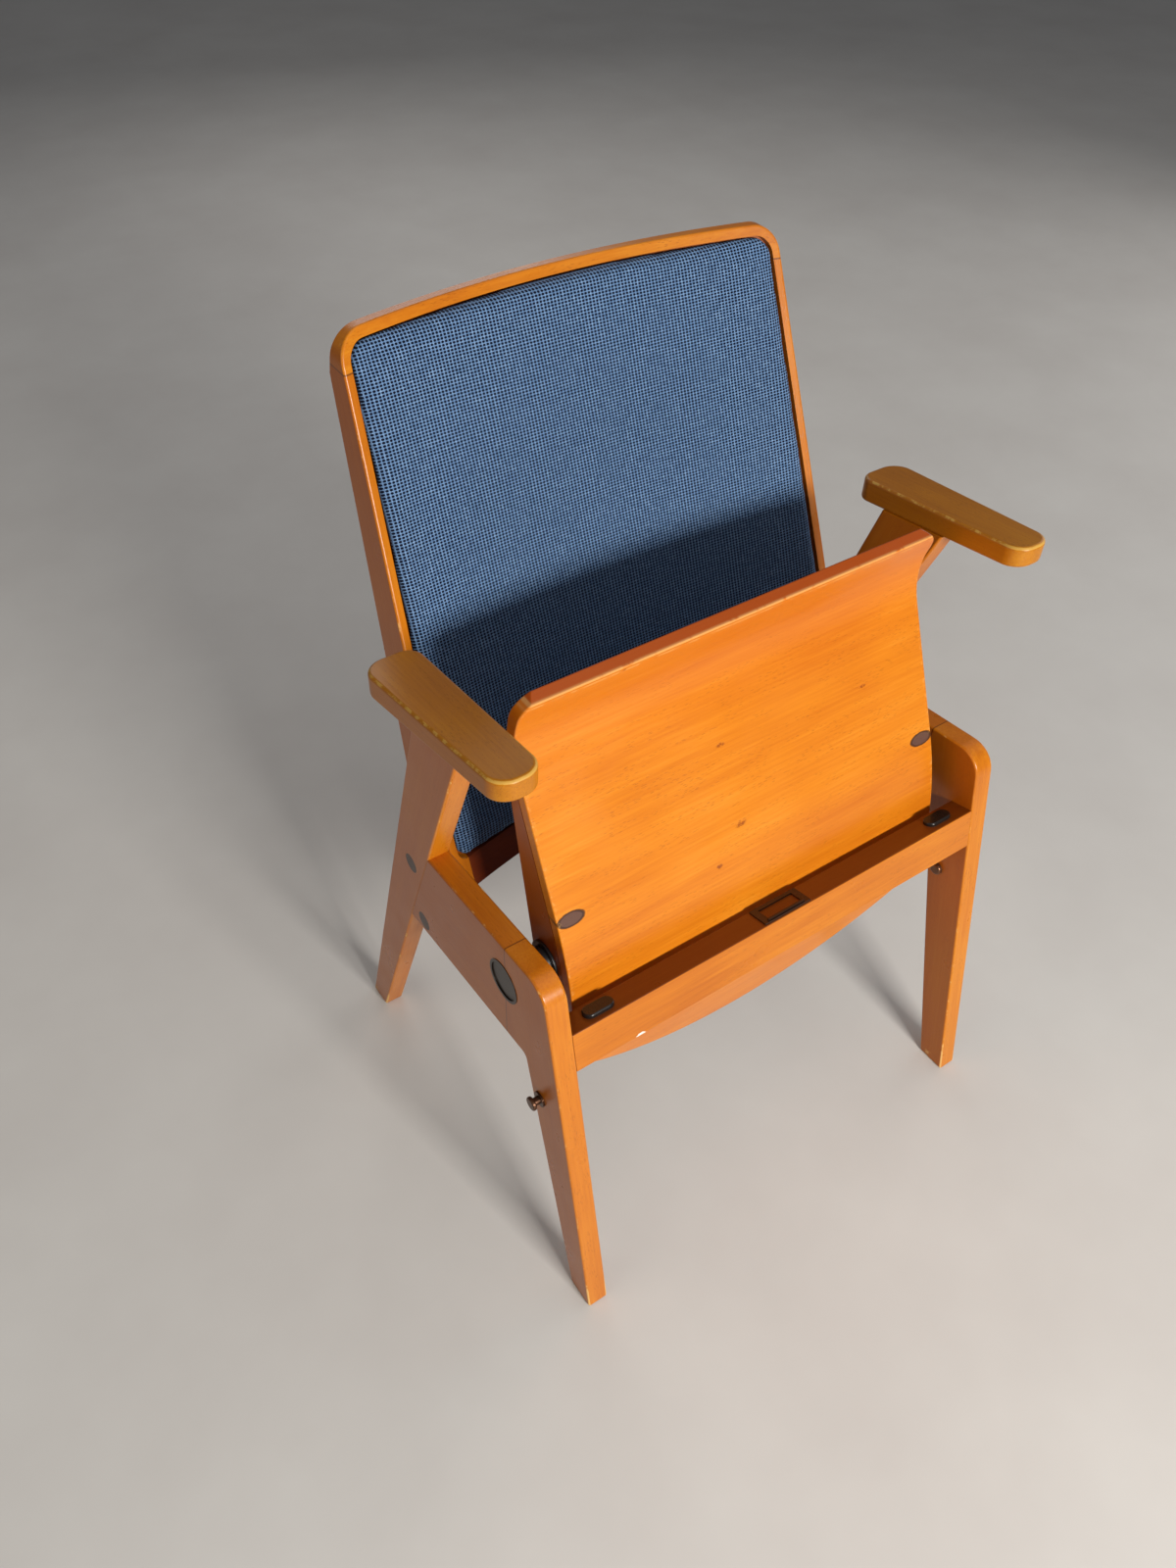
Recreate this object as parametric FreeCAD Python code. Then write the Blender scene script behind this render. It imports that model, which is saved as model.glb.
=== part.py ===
import FreeCAD
import Part
import os
from math import atan, cos, radians, sin, sqrt, tan

# Tip up auditorium seat: two beech side frames with arms, a curved padded back
# and a bent plywood seat that tips up on a pivot in each side frame.
# Millimetres. X runs across the seat, Y back, Z up from the floor.
# While it is built, Y is measured back from the tip of the front feet.

V = FreeCAD.Vector

# Side frames
FRAME_WIDTH = 540.0
PLANK = 23.0
ARRIS = 2.5
OUTER = FRAME_WIDTH / 2
INNER = OUTER - PLANK

# Front leg and side rail
LEG_TOE = 34.0
LEG_FRONT_LEAN = 0.200
LEG_REAR_LEAN = 0.2665
KNEE_HEIGHT = 453.0
KNEE_RADIUS = 27.0
SHOULDER_RADIUS = 5.0
RAIL_SLOPE = 0.115
RAIL_DEPTH = 127.0

# Rear leg, which runs on up as the arm post
POST_SPREAD = 452.0
POST_FOOT = 31.0
POST_FRONT_LEAN = 0.383
POST_REAR_LEAN = 0.318
FOOT_RADIUS = 1.5

# Armrest
ARM_FRONT = 117.5
ARM_LENGTH = 201.5
ARM_REAR_HEIGHT = 654.5
ARM_SLOPE = 0.1315
ARM_REAR_THICK = 24.5
ARM_FRONT_THICK = 21.0
ARM_INSET = 1.0
ARM_REAR_WIDTH = 51.5
ARM_FRONT_WIDTH = 42.0
ARM_FRONT_RADIUS = 19.0
ARM_OUTER_RADIUS = 20.0
ARM_INNER_RADIUS = 15.0
ARM_ARRIS = 3.5
ARM_DOWEL_DEPTH = 13.0

# Dowels, glue gaps and how far a cutting shape reaches past what it cuts
DOWEL_RADIUS = 4.0
DOWEL_LENGTH = 40.0
CROSS_DOWEL_IN_RAIL = 20.0
CROSS_DOWEL_IN_LEG = 14.0
GLUE_GAP = 0.05
OVERCUT = 1.0

# Front cross rail
CROSS_TOP = 387.0
CROSS_SETBACK = 1.0
CROSS_DEPTH = 46.5
CROSS_THICK = 27.5
CROSS_TOP_FALL = 15.3

# Stop bumpers on the cross rail, buffers behind it and the label holder
BUMPER_SPREAD = 422.0
BUMPER_LENGTH = 32.0
BUMPER_WIDTH = 15.0
BUMPER_HEIGHT = 4.0
BUMPER_END_ROUND = 0.98
BUMPER_TOP_ROUND = 0.4
BUFFER_SPREAD = 260.0
BUFFER_RADIUS = 9.0
BUFFER_DROP = 34.0
HOLDER_LENGTH = 56.0
HOLDER_WIDTH = 24.0
HOLDER_THICK = 1.6
HOLDER_LIP = 3.4
HOLDER_WINDOW_LENGTH = 41.0
HOLDER_WINDOW_WIDTH = 16.0
HOLDER_LIP_OVERLAP = 2.0

# Seat pivot, set out from the top front arris of the cross rail
PIVOT_BEHIND_CROSS = 76.0
PIVOT_OVER_CROSS = 9.0
PIN_RADIUS = 7.0
PIN_GAP = 0.05
BUSH_WALL = 4.0
CAP_RADIUS = 22.5
CAP_THICK = 5.0
CAP_PROUD = 0.6
CAP_RIM = 3.0
BOSS_RADIUS = 15.0
FLANGE_RADIUS = 20.0
FLANGE_THICK = 3.0
JOINT_AHEAD_OF_PIVOT = 3.0
PIN_END_GAP = 0.5
PIN_IN_CHEEK = 0.75

# Seat shell: the underside runs from its rear end over two bends to the lip
SEAT_SIDE_GAP = 22.0
SEAT_WIDTH = 2 * (INNER - SEAT_SIDE_GAP)
SHELL_THICK = 13.0
SHELL_REAR = (-37.8, -193.0)
SHELL_HOLLOW = (-60.4, -32.4)
SHELL_HOLLOW_RADIUS = 380.0
SHELL_NOSE = (53.4, 221.3)
SHELL_NOSE_RADIUS = 78.0
SHELL_LIP = (35.9, 272.0)
SHELL_DROP = 189.0
SHELL_END_RADIUS = 378.0
SHELL_CORNER = 25.0
SHELL_ARRIS = 1.5

# Cheeks, the wedges that stiffen the shell and hold the pivots
CHEEK_THICK = 22.0
CHEEK_TOP = (59.5, 207.0)
CHEEK_BREAK = (54.6, 156.0)
CHEEK_HEEL = (15.6, -30.0)
CHEEK_HEEL_RADIUS = 20.0

# Seat pad
SEAT_PAD_GAP = 2.0
SEAT_PAD_THICK = 34.0
SEAT_PAD_LIP_GAP = 49.0
SEAT_PAD_REAR_GAP = 62.0
SEAT_PAD_CORNER = 28.0
SEAT_PAD_ROUND = 11.0
SOFT_GAP = 0.3

# Back, hung between the side frames
BACK_HEIGHT = 856.0
BACK_FOOT = 296.0
BACK_AHEAD_OF_POST = 101.8
BACK_LEAN = 0.385
BACK_TOP_DEPTH = 28.3
BACK_DEPTH_TAPER = 0.0765
TOP_EDGE_DEPTH = 10.5
TOP_BEVEL = 0.17
BACK_PLAN_RADIUS = 960.0
BACK_CORNER = 25.0
BACK_ARRIS = 2.0
RIM = 8.5
LEDGE = 19.0
RECESS = 12.0
PANEL_THICK = 4.0
OPENING_FOOT = 410.0
OPENING_CORNER = 12.0
SPLAY_START = OPENING_FOOT + 44.0
SPLAY = 0.0557
JOINT_HEIGHT = BACK_HEIGHT - 29.0
BOTTOM_RAIL_FOOT = OPENING_FOOT - 30.0
BOTTOM_RAIL_DEPTH = 28.0
STILE_FOOT_LIFT = 2.0
PAD_MARGIN = 1.5
PAD_CROWN = 8.0
PAD_EDGE_RISE = 1.2
PAD_ROUND = 4.0

# Screws that hold the back, with their cover plugs
UPPER_SCREW = 389.7
UPPER_SCREW_BEHIND = 23.0
LOWER_SCREW = 317.0
LOWER_SCREW_BEHIND = -20.8
PLUG_RADIUS = 10.5
PLUG_THICK = 5.0
SCREW_HEAD_RADIUS = 5.0
SCREW_HEAD_THICK = 3.5
SCREW_RADIUS = 2.5
SCREW_LENGTH = 32.0

# Studs that link neighbouring seats
STUD_HEIGHT = 283.0
STUD_BEHIND_FRONT = 37.4
STUD_RADIUS = 4.0
STUD_WASHER_RADIUS = 8.0
STUD_WASHER_THICK = 2.0
STUD_NECK = 5.5
STUD_HEAD_RADIUS = 7.0
STUD_HEAD_THICK = 4.0
NUT_RADIUS = 7.0
NUT_THICK = 5.0
SHANK_END_GAP = 0.3

SIDES = (("left", -1), ("right", 1))


def rounded_wire(corners, place):
    """Closed wire round flat corners (a, b, radius); place(a, b) puts a point in space."""
    spans = []
    count = len(corners)
    for i, (a, b, radius) in enumerate(corners):
        here = V(a, b, 0)
        before = V(corners[i - 1][0], corners[i - 1][1], 0)
        after = V(corners[(i + 1) % count][0], corners[(i + 1) % count][1], 0)
        back = (before - here).normalize()
        on = (after - here).normalize()
        half = back.getAngle(on) / 2
        if radius == 0:
            spans.append((here, None, here))
            continue
        run = radius / tan(half)
        inward = (back + on).normalize()
        middle = here + inward * (radius / sin(half) - radius)
        spans.append((here + back * run, middle, here + on * run))
    edges = []
    for i, (start, middle, end) in enumerate(spans):
        if middle is not None:
            edges.append(Part.Arc(place(start.x, start.y), place(middle.x, middle.y),
                                  place(end.x, end.y)).toShape())
        following = spans[(i + 1) % count][0]
        if end.distanceToPoint(following) > 1e-6:
            edges.append(Part.LineSegment(place(end.x, end.y),
                                          place(following.x, following.y)).toShape())
    return Part.Wire(edges)


def side_prism(corners, x_low, x_high):
    """Solid with a side view outline of (y, z, radius), from x_low to x_high."""
    wire = rounded_wire(corners, lambda y, z: V(x_low, y, z))
    return Part.Face(wire).extrude(V(x_high - x_low, 0, 0))


def front_prism(corners, y_low, y_high):
    """Solid with a front view outline of (x, z, radius), from y_low to y_high."""
    wire = rounded_wire(corners, lambda x, z: V(x, y_low, z))
    return Part.Face(wire).extrude(V(0, y_high - y_low, 0))


def plan_prism(corners, z_low, z_high):
    """Solid with a plan outline of (x, y, radius), from z_low to z_high."""
    wire = rounded_wire(corners, lambda x, y: V(x, y, z_low))
    return Part.Face(wire).extrude(V(0, 0, z_high - z_low))


def rod(radius, y, z, x_start, length):
    """Cylinder along X from x_start; a negative length runs towards -X."""
    return Part.makeCylinder(radius, abs(length), V(x_start, y, z), V(1 if length > 0 else -1, 0, 0))


def rounded_edges(shape, radius, chosen):
    """The shape with each edge that chosen(edge) accepts rounded."""
    edges = [edge for edge in shape.Edges if chosen(edge)]
    return shape.makeFillet(radius, edges)


def leg_front(z):
    return LEG_FRONT_LEAN * z


def post_front(z):
    return POST_SPREAD - POST_FRONT_LEAN * z


def post_rear(z):
    return POST_SPREAD + POST_FOOT - POST_REAR_LEAN * z


KNEE_Y = leg_front(KNEE_HEIGHT)


def rail_top(y):
    return KNEE_HEIGHT - RAIL_SLOPE * (y - KNEE_Y)


def rail_bottom(y):
    return rail_top(y) - RAIL_DEPTH


def arm_top(y):
    return ARM_REAR_HEIGHT + ARM_SLOPE * (ARM_FRONT + ARM_LENGTH - y)


def arm_under(y):
    gone = (ARM_FRONT + ARM_LENGTH - y) / ARM_LENGTH
    return arm_top(y) - ARM_REAR_THICK + (ARM_REAR_THICK - ARM_FRONT_THICK) * gone


def meet(line_y_of_z, line_z_of_y):
    """Point where y = line_y_of_z(z) crosses z = line_z_of_y(y); both lines are straight."""
    slopes = (line_y_of_z(1) - line_y_of_z(0)) * (line_z_of_y(1) - line_z_of_y(0))
    y = line_y_of_z(line_z_of_y(0)) / (1 - slopes)
    return y, line_z_of_y(y)


CROSS_Y = leg_front(CROSS_TOP) + CROSS_SETBACK
PIVOT_Y = CROSS_Y + PIVOT_BEHIND_CROSS
PIVOT_Z = CROSS_TOP + PIVOT_OVER_CROSS
JOINT_Y = PIVOT_Y - JOINT_AHEAD_OF_PIVOT


def plank_side(side):
    """Inner and outer X of a side frame plank, low one first."""
    return sorted((side * INNER, side * OUTER))


def on_plank_face(edge):
    """True for the long arrises of a plank: edges that lie in one of its two faces."""
    box = edge.BoundBox
    return box.XLength < 1e-6 and abs(abs(box.XMin) - (OUTER + INNER) / 2) > PLANK / 2 - 1e-3


def long_arris(edge):
    """A plank's arris, apart from those at the floor and at the joints between planks."""
    box = edge.BoundBox
    at_floor = box.ZMax < FOOT_RADIUS + 0.1
    at_joint = abs(box.YMin - JOINT_Y) < 1e-3 and box.YLength < 1e-3
    return on_plank_face(edge) and not at_floor and not at_joint


def pivot_bore(side):
    """What the pivot takes out of a side frame: the bush's hole and the cap's recess."""
    hole = rod(PIN_RADIUS + BUSH_WALL + GLUE_GAP, PIVOT_Y, PIVOT_Z, side * (INNER - OVERCUT), side * PLANK)
    recess = rod(CAP_RADIUS + GLUE_GAP, PIVOT_Y, PIVOT_Z, side * (OUTER - CAP_THICK), side * PLANK)
    return hole.fuse(recess)


def front_leg(side):
    shoulder_y, shoulder_z = meet(lambda z: LEG_TOE + LEG_REAR_LEAN * z, rail_bottom)
    corners = [(0, 0, FOOT_RADIUS),
               (KNEE_Y, KNEE_HEIGHT, KNEE_RADIUS),
               (JOINT_Y, rail_top(JOINT_Y), 0),
               (JOINT_Y, rail_bottom(JOINT_Y), 0),
               (shoulder_y, shoulder_z, SHOULDER_RADIUS),
               (LEG_TOE, 0, FOOT_RADIUS)]
    leg = rounded_edges(side_prism(corners, *plank_side(side)), ARRIS, long_arris)
    stud = rod(STUD_RADIUS + GLUE_GAP, stud_y(), STUD_HEIGHT, side * (INNER - OVERCUT),
               side * (PLANK + 2 * OVERCUT))
    return leg.cut(pivot_bore(side)).cut(stud).cut(cross_dowels(side, GLUE_GAP))


def side_rail(side):
    top_y, top_z = meet(post_front, rail_top)
    foot_y, foot_z = meet(post_front, rail_bottom)
    corners = [(JOINT_Y, rail_top(JOINT_Y), 0),
               (top_y, top_z, 0),
               (foot_y, foot_z, 0),
               (JOINT_Y, rail_bottom(JOINT_Y), 0)]

    def arris(edge):
        box = edge.BoundBox
        return on_plank_face(edge) and box.YLength > (top_y - JOINT_Y) / 2

    rail = rounded_edges(side_prism(corners, *plank_side(side)), ARRIS, arris)
    return rail.cut(pivot_bore(side)).cut(screw_bores(side))


def rear_post(side):
    front_y, front_z = meet(post_front, arm_under)
    rear_y, rear_z = meet(post_rear, arm_under)
    corners = [(POST_SPREAD, 0, FOOT_RADIUS),
               (front_y, front_z, 0),
               (rear_y, rear_z, 0),
               (POST_SPREAD + POST_FOOT, 0, FOOT_RADIUS)]
    post = side_prism(corners, *plank_side(side))

    def arris(edge):
        box = edge.BoundBox
        return on_plank_face(edge) and box.ZLength > BACK_FOOT

    post = rounded_edges(post, ARRIS, arris)
    return post.cut(screw_bores(side)).cut(arm_dowels(side, GLUE_GAP))


def armrest(side):
    rear = ARM_FRONT + ARM_LENGTH
    x_in = INNER + ARM_INSET
    corners = [(x_in, ARM_FRONT, ARM_FRONT_RADIUS),
               (x_in + ARM_FRONT_WIDTH, ARM_FRONT, ARM_FRONT_RADIUS),
               (x_in + ARM_REAR_WIDTH, rear, ARM_OUTER_RADIUS),
               (x_in, rear, ARM_INNER_RADIUS)]
    if side < 0:
        corners = [(-x, y, r) for x, y, r in reversed(corners)]
    plan = plan_prism(corners, arm_under(rear) - PLANK, arm_top(ARM_FRONT) + PLANK)
    slab = side_prism([(ARM_FRONT - PLANK, arm_top(ARM_FRONT - PLANK), 0),
                       (rear + PLANK, arm_top(rear + PLANK), 0),
                       (rear + PLANK, arm_under(rear + PLANK), 0),
                       (ARM_FRONT - PLANK, arm_under(ARM_FRONT - PLANK), 0)],
                      *sorted((side * (INNER - PLANK), side * (OUTER + ARM_REAR_WIDTH))))
    arm = plan.common(slab).removeSplitter()

    def rim(edge):
        box = edge.BoundBox
        steep = box.ZLength > 0.9 * ARM_FRONT_THICK and box.YLength < 1.0 and box.XLength < 1.0
        return not steep

    arm = rounded_edges(arm, ARM_ARRIS, rim)
    return arm.cut(arm_dowels(side, GLUE_GAP))


def arm_dowels(side, gap):
    """The two dowels between an arm post and its armrest."""
    front_y, _ = meet(post_front, arm_under)
    rear_y, _ = meet(post_rear, arm_under)
    x = side * (INNER + OUTER) / 2
    pegs = []
    for share in (0.3, 0.7):
        y = front_y + share * (rear_y - front_y)
        foot = V(x, y, arm_under(y) + ARM_DOWEL_DEPTH - DOWEL_LENGTH)
        pegs.append(Part.makeCylinder(DOWEL_RADIUS + gap, DOWEL_LENGTH, foot))
    return Part.makeCompound(pegs)


def cross_corners():
    """Side view of the cross rail: its front face is parallel to the leg's front."""
    down = V(-LEG_FRONT_LEAN, -1, 0).normalize() * CROSS_DEPTH
    back = V(cos(radians(CROSS_TOP_FALL)), -sin(radians(CROSS_TOP_FALL)), 0) * CROSS_THICK
    top = V(CROSS_Y, CROSS_TOP, 0)
    return top, top + back, top + back + down, top + down


def cross_dowels(side, gap):
    """The two dowels at one end of the cross rail."""
    top, rear, rear_foot, foot = cross_corners()
    middle = (top + rear + rear_foot + foot) * 0.25
    slope = (top - foot).normalize() * (CROSS_DEPTH / 4)
    pegs = []
    for spot in (middle + slope, middle - slope):
        pegs.append(rod(DOWEL_RADIUS + gap, spot.x, spot.y, side * (INNER - CROSS_DOWEL_IN_RAIL),
                        side * (CROSS_DOWEL_IN_RAIL + CROSS_DOWEL_IN_LEG)))
    return Part.makeCompound(pegs)


def cross_rail():
    corners = [(p.x, p.y, 0) for p in cross_corners()]
    rail = side_prism(corners, -INNER, INNER)
    rail = rounded_edges(rail, ARRIS / 2, lambda edge: edge.BoundBox.XLength > INNER)
    for _, side in SIDES:
        rail = rail.cut(cross_dowels(side, GLUE_GAP))
    return rail


def on_cross_top(solid):
    """Lays a piece, made flat with its middle at the origin, on the cross rail's top face."""
    top, rear, _, _ = cross_corners()
    middle = (top + rear) * 0.5
    solid.rotate(V(0, 0, 0), V(1, 0, 0), -CROSS_TOP_FALL)
    solid.translate(V(0, middle.x, middle.y))
    return solid


def bumper(side):
    half = BUMPER_LENGTH / 2
    wide = BUMPER_WIDTH / 2
    x = side * BUMPER_SPREAD / 2
    end = wide * BUMPER_END_ROUND
    corners = [(x - half, -wide, end),
               (x + half, -wide, end),
               (x + half, wide, end),
               (x - half, wide, end)]
    pad = plan_prism(corners, 0, BUMPER_HEIGHT)
    pad = rounded_edges(pad, BUMPER_HEIGHT * BUMPER_TOP_ROUND,
                        lambda edge: edge.BoundBox.ZMin > BUMPER_HEIGHT - 0.01)
    return on_cross_top(pad)


def label_holder():
    plate = Part.makeBox(HOLDER_LENGTH, HOLDER_WIDTH, HOLDER_THICK,
                         V(-HOLDER_LENGTH / 2, -HOLDER_WIDTH / 2, 0))
    lip_width = (HOLDER_WIDTH - HOLDER_WINDOW_WIDTH) / 4
    lip_length = HOLDER_WINDOW_LENGTH + 2 * HOLDER_LIP_OVERLAP
    lip = Part.makeBox(lip_length, lip_width, HOLDER_LIP,
                       V(-lip_length / 2, -HOLDER_WINDOW_WIDTH / 2 - lip_width, 0))
    window = Part.makeBox(HOLDER_WINDOW_LENGTH, HOLDER_WINDOW_WIDTH, 2 * HOLDER_LIP,
                          V(-HOLDER_WINDOW_LENGTH / 2, -HOLDER_WINDOW_WIDTH / 2, -HOLDER_LIP / 2))
    return on_cross_top(plate.fuse(lip).removeSplitter().cut(window))


def up_stops():
    """Rubber buffers behind the cross rail that the tipped up shell leans on."""
    top, rear, rear_foot, _ = cross_corners()
    down = (rear_foot - rear).normalize()
    out = V(-down.y, down.x, 0)
    if out.x < 0:
        out = out * -1
    spot = rear + down * BUFFER_DROP
    clear = shell_prism(-SOFT_GAP, SHELL_THICK)
    stops = []
    for _, side in SIDES:
        start = V(side * BUFFER_SPREAD / 2, spot.x, spot.y)
        block = Part.makeCylinder(BUFFER_RADIUS, CROSS_THICK, start, V(0, out.x, out.y))
        pieces = block.cut(clear).Solids
        stops.append(min(pieces, key=lambda piece: piece.BoundBox.YMin))
    return Part.makeCompound(stops)


def pivot_cap(side):
    cap = rod(CAP_RADIUS, PIVOT_Y, PIVOT_Z, side * (OUTER - CAP_THICK), side * (CAP_THICK + CAP_PROUD))
    dish = rod(CAP_RADIUS - CAP_RIM, PIVOT_Y, PIVOT_Z, side * (OUTER - CAP_PROUD), side * (2 * CAP_PROUD))
    return cap.cut(dish)


def pivot_bush(side):
    length = PLANK - CAP_THICK
    bush = rod(PIN_RADIUS + BUSH_WALL, PIVOT_Y, PIVOT_Z, side * INNER, side * length)
    bore = rod(PIN_RADIUS + PIN_GAP, PIVOT_Y, PIVOT_Z, side * (INNER - OVERCUT), side * (length + 2 * OVERCUT))
    return bush.cut(bore)


def pin_span():
    """Where the pivot pin starts in the cheek, and its length to just short of the cap."""
    start = SEAT_WIDTH / 2 - CHEEK_THICK * PIN_IN_CHEEK
    return start, OUTER - CAP_THICK - PIN_END_GAP - start


def pivot_pin(side):
    start, length = pin_span()
    return rod(PIN_RADIUS, PIVOT_Y, PIVOT_Z, side * start, side * length)


def pivot_boss(side):
    """Flanged spacer between a cheek and its side frame."""
    seat_side = SEAT_WIDTH / 2
    flange = rod(FLANGE_RADIUS, PIVOT_Y, PIVOT_Z, side * seat_side, side * FLANGE_THICK)
    flange = rounded_edges(flange, FLANGE_THICK / 3, lambda edge: edge.BoundBox.YLength > FLANGE_RADIUS)
    barrel = rod(BOSS_RADIUS, PIVOT_Y, PIVOT_Z, side * seat_side, side * (INNER - SOFT_GAP - seat_side))
    bore = rod(PIN_RADIUS + GLUE_GAP, PIVOT_Y, PIVOT_Z, side * (seat_side - OVERCUT), side * PLANK * 2)
    return flange.fuse(barrel).removeSplitter().cut(bore)


def underside(offset):
    """Open polyline of the shell's side view, moved towards the sitter by offset."""
    points = [V(PIVOT_Y + y, PIVOT_Z + z, 0) for y, z in (SHELL_REAR, SHELL_HOLLOW, SHELL_NOSE, SHELL_LIP)]
    lines = []
    for start, end in zip(points, points[1:]):
        along = (end - start).normalize()
        shift = V(along.y, -along.x, 0) * offset
        lines.append((start + shift, end + shift))
    moved = [lines[0][0]]
    for (a, b), (c, d) in zip(lines, lines[1:]):
        u = b - a
        w = d - c
        t = ((c.x - a.x) * w.y - (c.y - a.y) * w.x) / (u.x * w.y - u.y * w.x)
        moved.append(a + u * t)
    moved.append(lines[-1][1])
    return moved


def shell_prism(low, high, half_width=SEAT_WIDTH / 2):
    """Sheet that follows the shell between two offsets from its underside."""
    near = underside(low)
    far = underside(high)
    corners = [(near[0].x, near[0].y, 0),
               (near[1].x, near[1].y, SHELL_HOLLOW_RADIUS - low),
               (near[2].x, near[2].y, SHELL_NOSE_RADIUS + low),
               (near[3].x, near[3].y, 0),
               (far[3].x, far[3].y, 0),
               (far[2].x, far[2].y, SHELL_NOSE_RADIUS + high),
               (far[1].x, far[1].y, SHELL_HOLLOW_RADIUS - high),
               (far[0].x, far[0].y, 0)]
    return side_prism(corners, -half_width, half_width)


def shell_outline(inset, top, rear_inset, corner):
    """Front view outline of the tipped up seat, up to the height top, as a cutting solid."""
    half = SEAT_WIDTH / 2 - inset
    foot = PIVOT_Z - SHELL_DROP + rear_inset
    radius = SHELL_END_RADIUS - rear_inset
    shoulder = foot + radius - sqrt(radius ** 2 - half ** 2)
    y_low = PIVOT_Y - SEAT_WIDTH
    block = Part.makeBox(2 * half, 2 * SEAT_WIDTH, top - shoulder, V(-half, y_low, shoulder))
    disc = Part.makeCylinder(radius, 2 * SEAT_WIDTH, V(0, y_low, foot + radius), V(0, 1, 0))
    bowl = disc.common(Part.makeBox(2 * half, 2 * SEAT_WIDTH, top - foot, V(-half, y_low, foot)))
    tab = bowl.fuse(block).removeSplitter()

    def upright_corner(edge):
        box = edge.BoundBox
        return box.YLength > SEAT_WIDTH and abs(abs(box.XMin) - half) < 1e-3

    return rounded_edges(tab, corner, upright_corner)


def seat_shell():
    """Bent plywood shell: waterfall lip on top, rounded rear end below the pivot."""
    outline = shell_outline(0, underside(SHELL_THICK)[3].y + SHELL_ARRIS, 0, SHELL_CORNER)
    shell = shell_prism(0, SHELL_THICK).common(outline)

    def arris(edge):
        box = edge.BoundBox
        return box.YLength + box.ZLength + box.XLength > 1.5 * SHELL_THICK

    return rounded_edges(shell, SHELL_ARRIS, arris)


def seat_cheek(side):
    start, length = pin_span()
    half = SEAT_WIDTH / 2
    ahead = underside(SHELL_THICK / 2)
    heel_front = (ahead[1].x, PIVOT_Z + CHEEK_HEEL[1])
    corners = [(ahead[2].x - SHELL_THICK, PIVOT_Z + CHEEK_TOP[1], 0),
               (PIVOT_Y + CHEEK_TOP[0], PIVOT_Z + CHEEK_TOP[1], 0),
               (PIVOT_Y + CHEEK_BREAK[0], PIVOT_Z + CHEEK_BREAK[1], 0),
               (PIVOT_Y + CHEEK_HEEL[0], PIVOT_Z + CHEEK_HEEL[1], CHEEK_HEEL_RADIUS),
               (heel_front[0], heel_front[1], 0)]
    wedge = side_prism(corners, *sorted((side * (half - CHEEK_THICK), side * half)))
    sheet = shell_prism(-SEAT_WIDTH / 4, SHELL_THICK)
    bore = rod(PIN_RADIUS + GLUE_GAP, PIVOT_Y, PIVOT_Z, side * start, side * length)
    cheek = max(wedge.cut(sheet).Solids, key=lambda piece: piece.Volume)
    return cheek.cut(bore)


def seat_pad():
    """Upholstered pad between the cheeks, fuller at the rear than at the lip."""
    half = SEAT_WIDTH / 2 - CHEEK_THICK - SEAT_PAD_GAP
    sheet = shell_prism(SHELL_THICK + SOFT_GAP, SHELL_THICK + SEAT_PAD_THICK, half)
    outline = shell_outline(CHEEK_THICK + SEAT_PAD_GAP, PIVOT_Z + SHELL_LIP[1] - SEAT_PAD_LIP_GAP,
                            SEAT_PAD_REAR_GAP, SEAT_PAD_CORNER)
    pad = sheet.common(outline)
    front = underside(SHELL_THICK + SOFT_GAP)

    def sitter_side(edge):
        middle = edge.valueAt((edge.FirstParameter + edge.LastParameter) / 2)
        along = max(0.0, min(1.0, (middle.z - front[1].y) / (front[2].y - front[1].y)))
        y_sheet = front[1].x + along * (front[2].x - front[1].x)
        long_enough = max(edge.BoundBox.XLength, edge.BoundBox.ZLength) > SEAT_PAD_ROUND * 2
        return long_enough and middle.y > y_sheet + SEAT_PAD_THICK * 0.6

    return rounded_edges(pad, SEAT_PAD_ROUND, sitter_side)


def back_front(z):
    """Y of the back's front face at its sides, at height z."""
    return post_front(BACK_FOOT) - BACK_AHEAD_OF_POST + BACK_LEAN * (z - BACK_FOOT)


def back_rear(z):
    return back_front(z) + BACK_TOP_DEPTH + BACK_DEPTH_TAPER * (BACK_HEIGHT - z)


def top_bevel(z):
    """Y of the bevel that thins the rear of the back towards its top edge."""
    return back_front(BACK_HEIGHT) + TOP_EDGE_DEPTH + TOP_BEVEL * (BACK_HEIGHT - z)


def plan_bow(x, radius=BACK_PLAN_RADIUS):
    """How far the curved back stands behind its sides at x, square to its lean."""
    return sqrt(radius ** 2 - x ** 2) - sqrt(radius ** 2 - INNER ** 2)


def bowed(y_of_z, radius=BACK_PLAN_RADIUS):
    """Leaning cylinder whose rear side holds the line y_of_z at the back's two sides."""
    along = V(0, y_of_z(1) - y_of_z(0), 1).normalize()
    rearward = V(0, along.z, -along.y)
    start = V(0, y_of_z(-radius), -radius)
    axis = start - rearward * sqrt(radius ** 2 - INNER ** 2)
    cylinder = Part.makeCylinder(radius, 3 * radius, axis, along)
    cylinder.rotate(axis, along, 180)
    return cylinder


def back_slab(near, far, near_radius=BACK_PLAN_RADIUS):
    """Curved slab between the surfaces through near(z) and far(z)."""
    return bowed(far).cut(bowed(near, near_radius))


def back_half_width(z):
    return INNER - SPLAY * max(0.0, z - SPLAY_START)


def back_window(inset, foot, corner_top, corner_foot):
    """Front view of the back, drawn in by inset, from foot to the top, as a cutting solid."""
    top = BACK_HEIGHT - inset
    corners = [(-back_half_width(foot) + inset, foot, corner_foot),
               (-back_half_width(SPLAY_START) + inset, SPLAY_START, 0),
               (-back_half_width(top) + inset, top, corner_top),
               (back_half_width(top) - inset, top, corner_top),
               (back_half_width(SPLAY_START) - inset, SPLAY_START, 0),
               (back_half_width(foot) - inset, foot, corner_foot)]
    return front_prism(corners, 0, 2 * POST_SPREAD)


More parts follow.
